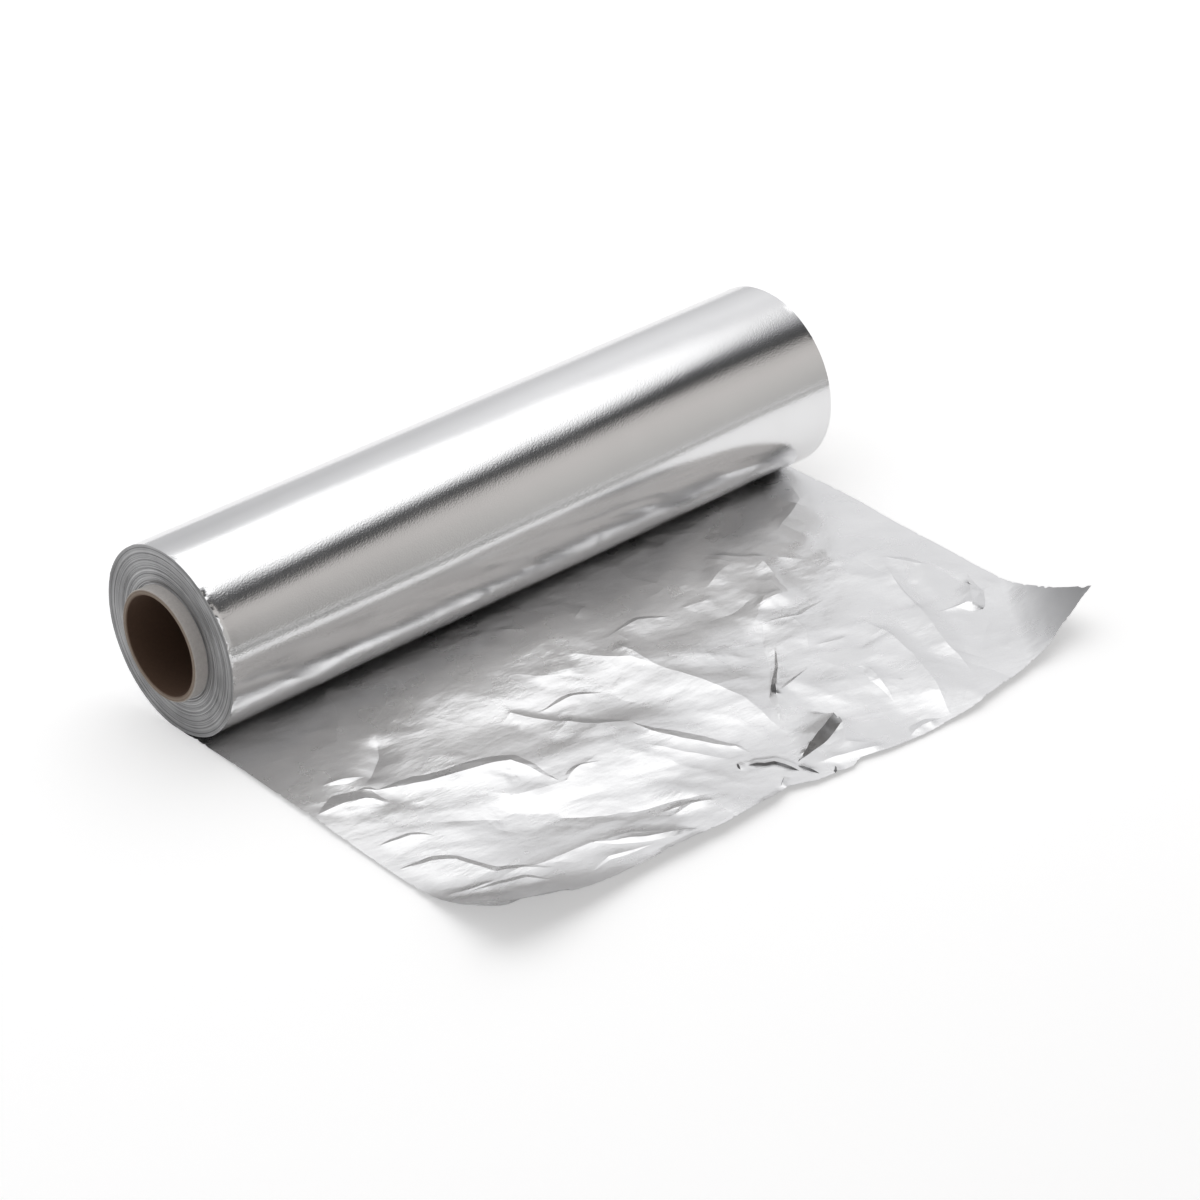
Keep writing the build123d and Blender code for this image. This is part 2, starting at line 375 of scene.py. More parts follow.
# Groups of turns at an end: the share of the winding's depth where each stops, and how far
# it stands in, as a share of END_RELIEF
TURN_GROUPS = [
    (0.05, 1.00),
    (0.15, 0.62),
    (0.31, 0.36),
    (0.44, 0.52),
    (0.60, 0.24),
    (0.76, 0.42),
    (0.86, 0.14),
    (0.92, 0.48),
    (1.00, 0.00),
]
END_RELIEF = 0.315 * MM
RING_SET = 0.084 * MM
RING_STAGGER = 0.035 * MM
RING_COUNT = 96
WINDING_SEGMENTS = 400

# Crimps in the edge of the outer turn: angle round the roll and half width in degrees,
# then lift in millimetres, below 0 where the edge is pressed in
NEAR_CRIMPS = [
    (99, 2.4, 0.15), (124, 1.8, 0.42), (128, 0.9, -0.20), (147, 13.0, 0.60), (139, 0.9, -0.20),
    (143, 1.1, 0.14), (151, 0.9, -0.24), (156, 1.0, 0.20), (160, 0.9, -0.26), (171, 2.0, 0.34),
    (178, 1.2, 0.46), (181, 0.9, -0.24), (193, 1.6, 0.34), (203, 1.4, 0.42), (60, 3.0, 0.10),
    (20, 2.5, 0.12), (318, 2.5, 0.12),
]
FAR_CRIMPS = [
    (110, 3.4, 0.08), (134, 2.2, 0.10), (160, 3.0, 0.08), (40, 3.0, 0.12), (350, 2.5, 0.12),
    (300, 2.5, 0.12),
]


def end_rings(seed):
    """Radius, depth, whether it wavers, and the phase of its waver for each ring of an end."""
    chance = np.random.default_rng(seed)
    widths = chance.gamma(2.2, 1, RING_COUNT) + 0.5
    shares = np.concatenate([[0], np.cumsum(widths) / widths.sum()])
    limits = [0] + [limit for limit, _ in TURN_GROUPS]
    middles = [(a + b) / 2 for a, b in zip(limits, limits[1:])]
    middles[-1] = 1
    rings = []
    for i, share in enumerate(shares):
        group = np.interp(share, middles, [depth for _, depth in TURN_GROUPS])
        inner = 0 < i < RING_COUNT
        depth = group * END_RELIEF + inner * (RING_SET + chance.uniform(-1, 1) * RING_STAGGER)
        rings.append((tube_radius + share * wound, depth, inner, chance.uniform(0, math.tau)))
    return rings


def crimp_lift(angle, from_end, crimps):
    """How far the outer turn stands out near its edge: a lip, and a shallow dip behind it."""
    lift = 0
    for place, spread, height in crimps:
        away = (np.degrees(angle) - place + 180) % 360 - 180
        lift = lift + height * MM * np.exp(-(away / spread) ** 2)
    crinkles = 1 + 0.35 * np.sin(97 * angle) * np.sin(23 * angle + 1)
    lip = np.clip(1 - from_end / (1.7 * MM), 0, 1) ** 1.5
    dip = 0.32 * np.exp(-((from_end / MM - 2.4) / 0.8) ** 2)
    return lift * crinkles * (lip - dip)


def make_winding():
    """The turns as one closed skin: a slightly wavy outer turn between two ringed ends."""
    by_the_edge = [0.3, 0.8, 1.5, 2.4, 3.6, 6.0]
    inset, middle_columns = 10 * MM, 30
    body = [-half_width + s * MM for s in by_the_edge]
    body += list(np.linspace(-half_width + inset, half_width - inset, middle_columns))
    body += [half_width - s * MM for s in reversed(by_the_edge)]
    left, right = end_rings(3), end_rings(4)
    right.reverse()
    plain = [(roll_radius, 0, 0, 0)] * len(body)
    radii, _, waver, phase = np.array(left + plain + right, dtype=float).T
    x = [-half_width + ring[1] for ring in left] + body + [half_width - ring[1] for ring in right]
    x = np.array(x)
    along = x / half_width

    angles = (np.arange(WINDING_SEGMENTS) * math.tau / WINDING_SEGMENTS)[:, None]
    shift = 0.04 * MM * np.sin(angles + phase) + 0.03 * MM * np.sin(2 * angles + 3 * phase)
    wavered_x = np.clip(x - np.sign(x) * waver * shift, -half_width, half_width)
    outer = radii > roll_radius - 0.001 * MM
    wave = 0.05 * MM * np.sin(3 * angles + 11 * along) * np.sin(5 * angles - 4 * along + 1)
    wave = wave + 0.03 * MM * np.sin(9 * angles + 3 * along) - 0.06 * MM
    wave = wave + crimp_lift(angles, x + half_width, NEAR_CRIMPS)
    wave = wave + crimp_lift(angles, half_width - x, FAR_CRIMPS)
    radius = radii + outer * wave
    y = radius * np.cos(angles)
    clear_of_floor = 0.06 * MM
    z = np.maximum(axis_height + radius * np.sin(angles), clear_of_floor)
    points = np.stack([wavered_x, y, z], -1).reshape(-1, 3)
    columns = len(x)
    faces = ring_faces(WINDING_SEGMENTS, columns)
    winding = piece_from("wound_turns", points, faces, roll_foil)
    winding.data.materials.append(end_foil)
    for polygon in winding.data.polygons:
        k = polygon.vertices[0] % columns
        on_end = k < RING_COUNT or k >= columns - RING_COUNT - 1
        polygon.material_index = 1 if on_end else 0
    mark_smooth_by_angle(winding, 40)
    return winding


winding = make_winding()
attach(winding, "root")
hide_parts("foil")


# The loose sheet. Its places are worked out in millimetres: across from the left side edge,
# along from the roll.

WIDTH = 2 * half_width / MM
LENGTH = sheet_length / MM

# The torn front edge: share of the width, then the share of the length that it reaches
FRONT_EDGE = [
    (0.00, 0.962),
    (0.08, 0.974),
    (0.17, 0.970),
    (0.25, 0.966),
    (0.34, 0.972),
    (0.42, 0.966),
    (0.46, 0.956),
    (0.50, 0.976),
    (0.55, 0.984),
    (0.57, 0.974),
    (0.62, 0.992),
    (0.70, 1.000),
    (0.76, 0.999),
    (0.80, 0.988),
    (0.86, 0.978),
    (0.93, 0.957),
    (1.00, 0.940),
]

# Folds: the points each passes, as shares of the width and the length, then its height and
# how far it reaches on each side, all in millimetres. Below 0 is a valley. The first reach
# is on the right-hand side of someone walking along it from its first point.
FOLDS = [
    ([(0.28, 0.65), (0.33, 0.63)], 0.5, 4, 3),
    ([(0.29, 0.42), (0.32, 0.40), (0.35, 0.47), (0.38, 0.55), (0.42, 0.59)], 0.8, 9, 3.6),
    ([(0.45, 0.32), (0.51, 0.42), (0.54, 0.58), (0.55, 0.67), (0.54, 0.81)], 1.7, 18, 20),
    ([(0.71, 0.47), (0.66, 0.56), (0.59, 0.68), (0.574, 0.705), (0.54, 0.77)], -0.8, 7, 5),
    ([(0.70, 0.63), (0.74, 0.65), (0.76, 0.65)], 0.3, 3, 2),
    ([(0.90, 0.55), (0.88, 0.62), (0.868, 0.69)], -0.9, 9, 8),
    ([(0.73, 0.50), (0.72, 0.58), (0.69, 0.64)], 0.5, 8, 6),
    ([(0.92, 0.49), (0.884, 0.59), (0.862, 0.68), (0.840, 0.769), (0.822, 0.847), (0.800, 0.91)],
     1.5, 9, 6),
    ([(0.790, 0.62), (0.794, 0.704), (0.783, 0.792), (0.747, 0.898), (0.708, 1.0)], 1.3, 12, 6),
    ([(0.748, 0.354), (0.770, 0.40), (0.762, 0.458), (0.705, 0.459)], 0.7, 9, 5),
    ([(0.98, 0.67), (0.98, 0.71), (0.93, 0.73)], 0.4, 3, 4),
    ([(0.99, 0.72), (0.93, 0.78), (0.84, 0.88), (0.71, 1.01)], -0.8, 9, 14),
    ([(0.45, 0.83), (0.49, 0.87), (0.50, 0.92)], 0.5, 5, 1.5),
    ([(0.39, 0.66), (0.42, 0.74), (0.45, 0.81)], 0.4, 6, 5),
    ([(0.62, 0.84), (0.58, 0.92), (0.60, 0.95)], 0.5, 5, 4),
    ([(0.52, 0.93), (0.58, 0.96), (0.62, 0.99)], 0.6, 3, 6),
    ([(0.19, 0.05), (0.16, 0.18), (0.12, 0.28)], 0.7, 9, 8),
    ([(0.17, 0.29), (0.145, 0.346), (0.11, 0.388), (0.09, 0.412)], -0.9, 5, 7),
    ([(0.52, 0.35), (0.52, 0.48)], 0.5, 4, 7),
    ([(0.42, 0.18), (0.45, 0.22)], 0.3, 3, 3),
    ([(0.51, 0.25), (0.55, 0.22)], 0.3, 3, 3),
    ([(0.64, 0.35), (0.69, 0.36)], 0.4, 4, 3),
    ([(0.10, 0.60), (0.18, 0.68), (0.25, 0.77), (0.31, 0.82), (0.38, 0.88)], -1.2, 15, 12),
    ([(0.08, 0.81), (0.13, 0.83), (0.20, 0.84), (0.26, 0.87), (0.29, 0.92)], 0.6, 6, 4),
    ([(0.00, 0.79), (0.08, 0.81)], 0.5, 4, 3),
    ([(0.31, 0.85), (0.37, 0.90)], 0.5, 4, 3),
    ([(0.96, 0.07), (0.92, 0.17), (0.93, 0.23), (0.95, 0.26)], 0.7, 8, 8),
    ([(0.97, 0.13), (0.94, 0.21), (0.865, 0.27)], 0.8, 6, 9),
    ([(0.74, 0.24), (0.76, 0.30), (0.69, 0.33)], 0.5, 5, 6),
    ([(0.80, 0.26), (0.79, 0.33), (0.77, 0.455), (0.70, 0.45)], 0.7, 7, 6),
    ([(0.66, 0.51), (0.74, 0.44), (0.79, 0.45)], 0.6, 10, 9),
]

# Flaps: one flat steep side and one long slope. The points each crest passes, its height,
# the widths of the steep and of the long side, then the shares of its length over which it
# narrows at its first and at its last end. The steep side is on the right-hand side.
FLAPS = [
    ([(0.506, 0.903), (0.561, 0.871), (0.611, 0.840)], 3.2, 3.75, 13, 0.5, 0.03),
    ([(0.265, 0.65), (0.258, 0.58), (0.253, 0.54), (0.236, 0.53), (0.20, 0.51), (0.15, 0.483),
      (0.094, 0.437)], 1.2, 5.8, 18, 0.35, 0.2),
    ([(0.479, 0.823), (0.473, 0.783), (0.458, 0.757), (0.432, 0.70), (0.418, 0.65), (0.416, 0.59)],
     1.25, 5.2, 13, 0.4, 0.4),
    ([(0.145, 0.865), (0.119, 0.829), (0.092, 0.794), (0.078, 0.753), (0.067, 0.716),
      (0.042, 0.689), (0.008, 0.66)], 0.7, 3.5, 16, 0.2, 0.2),
    ([(0.082, 0.631), (0.061, 0.601), (0.046, 0.596), (0.017, 0.576)], 0.4, 1.8, 8, 0.3, 0.3),
    ([(0.124, 0.903), (0.114, 0.88), (0.104, 0.857), (0.073, 0.829), (0.04, 0.807)], 0.5, 2.6, 8, 0.3, 0.3),
    ([(0.665, 0.681), (0.626, 0.693), (0.595, 0.702)], 0.5, 1.6, 8, 0.5, 0.3),
    ([(0.453, 0.843), (0.469, 0.868), (0.481, 0.876), (0.493, 0.926)], 1.0, 0.5, 6, 0.15, 0.15),
    ([(0.499, 0.916), (0.502, 0.933), (0.506, 0.958)], 0.8, 0.45, 4, 0.15, 0.3),
    ([(0.469, 0.922), (0.452, 0.943)], 1.0, 0.6, 3, 0.2, 0.2),
    ([(0.447, 0.826), (0.439, 0.846)], 0.8, 0.5, 3, 0.2, 0.2),
    ([(0.532, 0.962), (0.521, 0.984)], 0.9, 0.6, 3, 0.2, 0.2),
    ([(0.200, 0.836), (0.254, 0.896), (0.313, 0.955)], 1.2, 2.1, 7, 0.4, 0.2),
    ([(0.672, 0.573), (0.62, 0.65), (0.597, 0.69), (0.581, 0.716), (0.548, 0.78)], 1.2, 3.0, 10, 0.7, 0.3),
    ([(0.604, 0.672), (0.584, 0.710)], 1.1, 1.7, 4, 0.2, 0.2),
    ([(0.912, 0.752), (0.944, 0.704), (0.972, 0.65)], 1.6, 5.2, 9, 0.1, 0.5),
    ([(0.921, 0.733), (0.901, 0.721), (0.872, 0.705)], 0.5, 1.4, 5, 0.1, 0.6),
    ([(0.700, 0.984), (0.672, 0.976), (0.646, 0.986)], 0.8, 3.6, 4, 0.3, 0.3),
    ([(0.956, 0.578), (0.938, 0.527), (0.924, 0.482)], 0.5, 3.0, 7, 0.4, 0.4),
    ([(0.712, 0.744), (0.721, 0.760), (0.703, 0.83), (0.69, 0.88)], 0.7, 3.4, 8, 0.3, 0.5),
    ([(0.091, 0.486), (0.067, 0.452), (0.044, 0.437), (0.012, 0.425)], 1.1, 8, 10, 0.3, 0.3),
    ([(0.05, 0.356), (0.074, 0.363), (0.105, 0.38)], 0.5, 3, 6, 0.5, 0.4),
    ([(0.359, 0.891), (0.342, 0.88), (0.309, 0.876)], 0.45, 2.1, 7, 0.3, 0.4),
    ([(0.12, 0.975), (0.08, 0.985), (0.04, 0.98), (0.01, 0.97)], 1.9, 9.0, 3, 0.3, 0.2),
    ([(0.47, 0.975), (0.44, 0.985), (0.40, 0.988), (0.34, 0.985)], 1.3, 6.4, 2, 0.2, 0.5),
    ([(0.33, 0.985), (0.289, 0.985), (0.25, 0.98), (0.19, 0.98)], 1.0, 5.4, 2, 0.2, 0.5),
    ([(0.331, 0.648), (0.303, 0.640), (0.269, 0.660)], 0.45, 2.0, 5, 0.5, 0.2),
    ([(0.092, 0.478), (0.068, 0.453), (0.041, 0.44)], 0.3, 1.4, 3, 0.3, 0.4),
    ([(0.096, 0.44), (0.077, 0.412)], 0.4, 1.8, 3, 0.3, 0.3),
    ([(0.16, 0.92), (0.20, 0.90), (0.26, 0.93)], 0.4, 1.8, 7, 0.4, 0.4),
    ([(0.62, 0.36), (0.57, 0.33), (0.52, 0.335)], 0.5, 2.6, 9, 0.4, 0.4),
    ([(0.44, 0.47), (0.40, 0.44), (0.35, 0.43)], 0.4, 2.2, 8, 0.4, 0.4),
    ([(0.80, 0.52), (0.74, 0.53), (0.70, 0.50)], 0.5, 2.4, 7, 0.4, 0.4),
]

# Broad mounds and hollows: place in shares, then height and reach across and along
MOUNDS = [
    (0.35, 0.47, -1.0, 50, 24),
    (0.37, 0.635, 1.3, 42, 24),
    (0.24, 0.80, 0.9, 30, 20),
    (0.62, 0.31, 1.0, 34, 22),
    (0.60, 0.47, 0.8, 26, 20),
    (0.66, 0.78, 0.7, 20, 16),
    (0.83, 0.30, 0.7, 26, 18),
    (0.86, 0.16, -0.6, 20, 14),
]

# Span and height of each size of crumpling
CRUMPLES = [(34, 0.34), (17, 0.17), (8.5, 0.085), (4.4, 0.04)]

# The hump by the roll and the lift at the front: height, then its strength across the sheet
HUMP_HEIGHT = 3.8
HUMP_ACROSS = ([0, 0.15, 0.26, 0.44, 0.6, 1], [0.1, 0.35, 1, 1, 0.5, 0.25])
FRONT_LIFT = 3.4
FRONT_ACROSS = ([0, 0.38, 0.54, 0.68, 0.77, 1], [1, 1, 0, 0, 0.6, 0.6])

# The curled front corners: height, reach across and along, and how sharply each turns up
LEFT_CURL = (13.5, 90, 54, 2)
RIGHT_CURL = (15.5, 40, 46, 1.5)

# The mesh: the steps between its points and along the lines laid on folds, the room kept
# free beside those lines and by the sheet's edges, and the foil's thickness as drawn
MESH_STEP = 1.35
LINE_STEP = 1.4
LINE_ROOM = 0.85
EDGE_ROOM = 0.9
FOIL_THICKNESS = 0.05


def front_reach(across):
    """How far the sheet reaches at a place across it."""
    places, reaches = zip(*FRONT_EDGE)
    return np.interp(across / WIDTH, places, reaches) * LENGTH


def nearest(px, py, corners):
    """Distance from a bent line, which side of it, and the share of its length passed."""
    near = np.full(px.shape, 1e9)
    side = np.zeros(px.shape)
    share = np.zeros(px.shape)
    runs = [math.dist(a, b) for a, b in zip(corners, corners[1:])]
    done = 0
    for a, b, run in zip(corners, corners[1:], runs):
        dx, dy = (b[0] - a[0]) / run, (b[1] - a[1]) / run
        t = np.clip((px - a[0]) * dx + (py - a[1]) * dy, 0, run)
        away = np.hypot(px - a[0] - t * dx, py - a[1] - t * dy)
        closer = away < near
        near = np.where(closer, away, near)
        side = np.where(closer, dx * (py - a[1]) - dy * (px - a[0]), side)
        share = np.where(closer, (done + t) / sum(runs), share)
        done += run
    return near, side, share


def fold_lift(px, py, fold):
    """One fold: steepest at its crest, and fading to nothing at its ends and sides."""
    corners, height, right_reach, left_reach = fold
    near, side, share = nearest(px, py, corners)
    taper = np.clip(np.minimum(share, 1 - share) / 0.24, 0, 1)
    reach = 1.45 * np.where(side > 0, right_reach, left_reach)
    return height * np.clip(taper - near / reach, 0, None) ** 1.6


def flap_lift(px, py, flap):
    """One flap: a flat steep side, a long slope behind it, and both narrowing at the ends."""
    corners, height, steep_run, slope_run, first_taper, last_taper = flap
    near, side, share = nearest(px, py, corners)
    taper = np.clip(np.minimum(share / first_taper, (1 - share) / last_taper), 0, 1)
    steep = np.clip(taper - near / steep_run, 0, None)
    slope = np.clip(taper - near / slope_run, 0, None) ** 1.6
    return height * np.where(side > 0, steep, slope)


def flap_foot(flap):
    """The line along which a flap's steep side meets the sheet."""
    corners, _, steep_run, _, first_taper, last_taper = flap
    runs = np.cumsum([0] + [math.dist(a, b) for a, b in zip(corners, corners[1:])])

    def crest(run):
        return [np.interp(run, runs, values) for values in zip(*corners)]

    foot = []
    for share in np.linspace(0, 1, max(int(runs[-1] / 2), 4)):
        here = crest(share * runs[-1])
        ahead = crest(share * runs[-1] + 1)
        back = crest(share * runs[-1] - 1)
        along = np.subtract(ahead, back) / math.dist(ahead, back)
        out = steep_run * min(share / first_taper, (1 - share) / last_taper, 1)
        foot.append((here[0] - along[1] * out, here[1] + along[0] * out))
    return foot


def soft_noise(px, py, span, seed, stretch=1, turn=0):
    """Smooth random values from -1 to 1, drawn out along a direction given in degrees."""
    table = np.random.default_rng(seed).uniform(-1, 1, (128, 128))
    c, s = math.cos(math.radians(turn)), math.sin(math.radians(turn))
    x, y = (px * c + py * s) / (span * stretch) + 60, (py * c - px * s) / span + 60
    i, j = np.floor(x).astype(int), np.floor(y).astype(int)
    fx, fy = smoothstep(x - i), smoothstep(y - j)
    near = table[i % 128, j % 128] * (1 - fx) + table[(i + 1) % 128, j % 128] * fx
    far = table[i % 128, (j + 1) % 128] * (1 - fx) + table[(i + 1) % 128, (j + 1) % 128] * fx
    return near * (1 - fy) + far * fy


def crumple(px, py):
    """Ridges and hollows of several sizes, slanting one way on the left and back on the right."""
    right = smoothstep((px / WIDTH - 0.45) / 0.3)
    total = np.zeros(px.shape)
    for seed, (span, height) in enumerate(CRUMPLES):
        slanted = 1 - 2 * np.hypot(soft_noise(px, py, span, 11 + seed, 1.9, 26), 3 / span)
        back = 1 - 2 * np.hypot(soft_noise(px, py, span, 31 + seed, 1.4, 135), 3 / span)
        total += height * (slanted * (1 - right) + back * right)
    return total


def wavered(px, py):
    """Places moved a little, so that the folds waver."""
    x = px + 1.3 * soft_noise(px, py, 17, 71) + 0.4 * soft_noise(px, py, 6, 72)
    y = py + 1.3 * soft_noise(px, py, 17, 73) + 0.4 * soft_noise(px, py, 6, 74)
    return x, y


def before_waver(px, py):
    """The places that wavered() moves to the given ones."""
    x, y = px, py
    for _ in range(4):
        moved_x, moved_y = wavered(x, y)
        x, y = x + px - moved_x, y + py - moved_y
    return x, y


def scattered_folds(count, length, height, reach, seed):
    """Many short random folds, most of them slanting the same way."""
    chance = np.random.default_rng(seed)
    folds = []
    for _ in range(count):
        middle = chance.uniform((4, 18), (WIDTH - 4, 0.93 * LENGTH))
        angle = chance.normal(math.radians(38), math.radians(30))
        run = chance.uniform(0.4, 1.4) * length / 2
        step = np.array([math.cos(angle), math.sin(angle)]) * run
        bend = chance.normal(0, 0.16, 2) * run
        corners = [tuple(middle - step), tuple(middle + bend), tuple(middle + step)]
        lift = chance.choice([-1, 1, 1]) * chance.uniform(0.3, 1) * height
        sides = chance.uniform(0.7, 1.5, 2) * reach
        folds.append((corners, lift, sides[0], sides[1]))
    return folds


def hump(px, py):
    """The sheet rises as it leaves the roll, falls again, and lifts a little at the front."""
    arch = HUMP_HEIGHT * np.interp(px / WIDTH, *HUMP_ACROSS)
    lift = FRONT_LIFT * np.interp(px / WIDTH, *FRONT_ACROSS)
    total = arch * (1 - smoothstep((py - 38) / 42)) + lift * smoothstep((py - LENGTH + 50) / 50)
    for u, v, height, wide, long in MOUNDS:
        far = ((px - u * WIDTH) / wide) ** 2 + ((py - v * LENGTH) / long) ** 2
        total += height * np.clip(1 - far, 0, None) ** 2
    return total


def swell(px, py):
    """Slow rounded waves under the creases."""
    chance = np.random.default_rng(8)
    total = np.zeros(px.shape)
    for _ in range(14):
        angle, span = chance.uniform(0, math.tau), chance.uniform(35, 95)
        phase = (px * math.cos(angle) + py * math.sin(angle)) * math.tau / span
        total += span / 95 * np.sin(phase + chance.uniform(0, math.tau))
    return total / 3


def sheet_outline():
    """The edge of the sheet as one loop, with nicked sides and a torn front."""
    chance = np.random.default_rng(21)

    def ragged(count):
        """How far the edge is cut in at each of its points."""
        spots = np.arange(0, count + 7, 7)
        slow = np.interp(np.arange(count), spots, chance.normal(0, 0.22, len(spots)))
        nicks = (chance.uniform(0, 1, count) < 0.05) * chance.uniform(0.3, 0.9, count)
        return slow + chance.normal(0, 0.09, count) + nicks

    hidden_step, side_step, front_step = 3, 1.2, 0.9
    loop = [(x, 0.0) for x in np.arange(0, WIDTH, hidden_step)]
    left_reach, right_reach = front_reach(np.array([0.0, WIDTH]))
    right = np.arange(0, right_reach - 0.6, side_step)
    loop += [(WIDTH - max(cut, 0) * min(y / 20, 1), y) for y, cut in zip(right, ragged(len(right)))]
    front = np.arange(WIDTH, 0, -front_step)
    loop += [(x, y - cut) for x, y, cut in zip(front, front_reach(front), ragged(len(front)))]
    left = np.arange(left_reach - 0.3, 0.6, -side_step)
    loop += [(max(cut, 0) * min(y / 20, 1), y) for y, cut in zip(left, ragged(len(left)))]
    return loop


def on_sheet(px, py, margin):
    """Which places lie on the sheet, clear of its edges."""
    inside = (px > margin) & (px < WIDTH - margin) & (py > margin)
    return inside & (py < front_reach(px) - 2 * margin)


def curled(beside, from_front, curl):
    """How far a front corner is turned up."""
    height, across, along, power = curl
    return height * np.maximum(1 - beside / across - from_front / along, 0) ** power


def sheet_height(px, py, folds, flaps):
    """The height of the sheet's underside, in millimetres above the table."""
    creased = np.zeros(px.shape)
    x, y = wavered(px, py)
    for fold in folds:
        creased += fold_lift(x, y, fold)
    creased *= 1 + 0.4 * soft_noise(px, py, 22, 81)
    calm = 0.35 + 0.65 * smoothstep(np.minimum(px, WIDTH - px) / 14)
    height = 1.3 + 0.30 * swell(px, py) + hump(px, py) + calm * (creased + crumple(px, py))
    for flap in flaps:
        height += flap_lift(x, y, flap)
    settled = np.sin(np.clip((py - 4) / 48, 0, 1) * math.pi / 2)
    height = np.maximum(settled * height, 0.03)
    from_front = np.maximum(front_reach(px) - py, 0)
    height = height + curled(px, from_front, LEFT_CURL)
    return height + curled(WIDTH - px, from_front, RIGHT_CURL)


def fold_lines(folds, flaps, small):
    """The lines that the mesh is laid along, each with whether its crease stays crisp."""
    lines = [(corners, True) for corners, *_ in folds + flaps]
    lines += [(flap_foot(flap), True) for flap in flaps]
    lines += [(corners, i % 3 == 0) for i, (corners, *_) in enumerate(small)]
    return lines


def lay_lines(lines, points):
    """Add the points of the lines, and give those points, their edges and the crisp edges."""
    edges, crisp, guides = [], set(), []
    for corners, is_crisp in lines:
        for a, b in zip(corners, corners[1:]):
            share = np.linspace(0, 1, max(int(math.dist(a, b) / LINE_STEP), 1) + 1)
            x, y = before_waver(a[0] + (b[0] - a[0]) * share, a[1] + (b[1] - a[1]) * share)
            inside = on_sheet(x, y, EDGE_ROOM)
            first = len(points)
            points += list(zip(x, y))
            guides += list(zip(x, y))
            for k in np.nonzero(inside[:-1] & inside[1:])[0]:
                if is_crisp:
                    crisp.add(len(edges))
                edges.append((first + int(k), first + int(k) + 1))
    return np.array(guides), edges, crisp


def field_points(guides):
    """Points between the lines, in staggered rows, moved a little at random."""
    chance = np.random.default_rng(9)
    step, row_step, jitter = MESH_STEP, 0.87 * MESH_STEP, 0.2
    points = []
    for j, y in enumerate(np.arange(step, LENGTH, row_step)):
        x = np.arange(step * (1 + j % 2 / 2), WIDTH - step / 2, step)
        spots = np.stack([x, np.full(x.shape, y)], -1) + chance.uniform(-jitter, jitter, (len(x), 2))
        close = guides[np.abs(guides[:, 1] - y) < 1.5]
        away = np.hypot(*(spots[:, None, :] - close[None, :, :]).transpose(2, 0, 1)).min(1, initial=9)
        kept = (away > LINE_ROOM) & (spots[:, 1] < front_reach(spots[:, 0]) - 1.6)
        points += [tuple(spot) for spot in spots[kept]]
    return points


def two_sided(faces, places):
    """The faces of a closed skin: the upper side, the lower side, and the strip between."""
    faces = [tuple(face) for face in faces]
    turned = [tuple(reversed(face)) for face in faces]
    a, b, c = places[list(faces[0])]
    anticlockwise = (b[0] - a[0]) * (c[1] - a[1]) > (b[1] - a[1]) * (c[0] - a[0])
    up, down = (turned, faces) if anticlockwise else (faces, turned)
    used = {}
    for face in up:
        for i, j in zip(face, face[1:] + face[:1]):
            used[(i, j)] = True
    count = len(places)
    skin = up + [tuple(i + count for i in face) for face in down]
    return skin + [(j, i, i + count, j + count) for i, j in used if (j, i) not in used]


def make_sheet():
    """The drawn-off foil, its mesh laid along the folds so that the creases stay crisp."""
    folds = [([(u * WIDTH, v * LENGTH) for u, v in shares], *rest) for shares, *rest in FOLDS]
    flaps = [([(u * WIDTH, v * LENGTH) for u, v in shares], *rest) for shares, *rest in FLAPS]
    small = scattered_folds(80, 34, 0.31, 5.2, 4) + scattered_folds(150, 15, 0.15, 2.6, 5)
    outline = sheet_outline()
    points = list(outline)
    guides, edges, crisp = lay_lines(fold_lines(folds, flaps, small), points)
    points += field_points(guides)
    verts, sides, faces, _, sources, _ = geometry.delaunay_2d_cdt(
        [Vector(point) for point in points], edges, [list(range(len(outline)))], 1, 0.001)
    places = np.array([tuple(vert) for vert in verts])
    px, py = places[:, 0], places[:, 1]
    height = sheet_height(px, py, folds + small, flaps)
    low = np.stack([px * MM - half_width, -py * MM, height * MM], -1)
    top = low + np.array([0, 0, FOIL_THICKNESS * MM])
    skin = two_sided(faces, places)
    sheet = piece_from("loose_sheet", np.concatenate([top, low]), skin, sheet_foil)
    mark_smooth_by_angle(sheet, 35)
    sharp = {frozenset(side) for side, source in zip(sides, sources) if crisp.intersection(source)}
    for edge in sheet.data.edges:
        if frozenset(edge.vertices) in sharp:
            edge.use_edge_sharp = True
    return sheet


sheet = make_sheet()
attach(sheet, "root")
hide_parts("foil")


# Floor and studio

def make_floor():
    """A pale floor that keeps its shadows, a little darker in mirrors than to the eye."""
    material, nodes, links, shader = new_material("floor")
    shader.inputs["Base Color"].default_value = (0.86, 0.86, 0.86, 1)
    shader.inputs["Roughness"].default_value = 0.9
    shader.inputs["Specular IOR Level"].default_value = 0
    rays = nodes.new("ShaderNodeLightPath").outputs
    mirrored = math_node(nodes, links, "ADD", rays["Is Glossy Ray"], rays["Is Transmission Ray"])
    mirrored = math_node(nodes, links, "MULTIPLY", mirrored, 0.26)
    direct = math_node(nodes, links, "MULTIPLY", rays["Is Camera Ray"], 0.40)
    pale = nodes.new("ShaderNodeEmission")
    links.new(math_node(nodes, links, "ADD", direct, mirrored), pale.inputs["Strength"])
    both = nodes.new("ShaderNodeAddShader")
    links.new(shader.outputs["BSDF"], both.inputs[0])
    links.new(pale.outputs["Emission"], both.inputs[1])
    links.new(both.outputs["Shader"], nodes["Material Output"].inputs["Surface"])
    reach = 12
    corners = [(-reach, -reach, 0), (reach, -reach, 0), (reach, reach, 0), (-reach, reach, 0)]
    floor = piece_from("floor", corners, [(0, 1, 2, 3)], material, smooth=False)


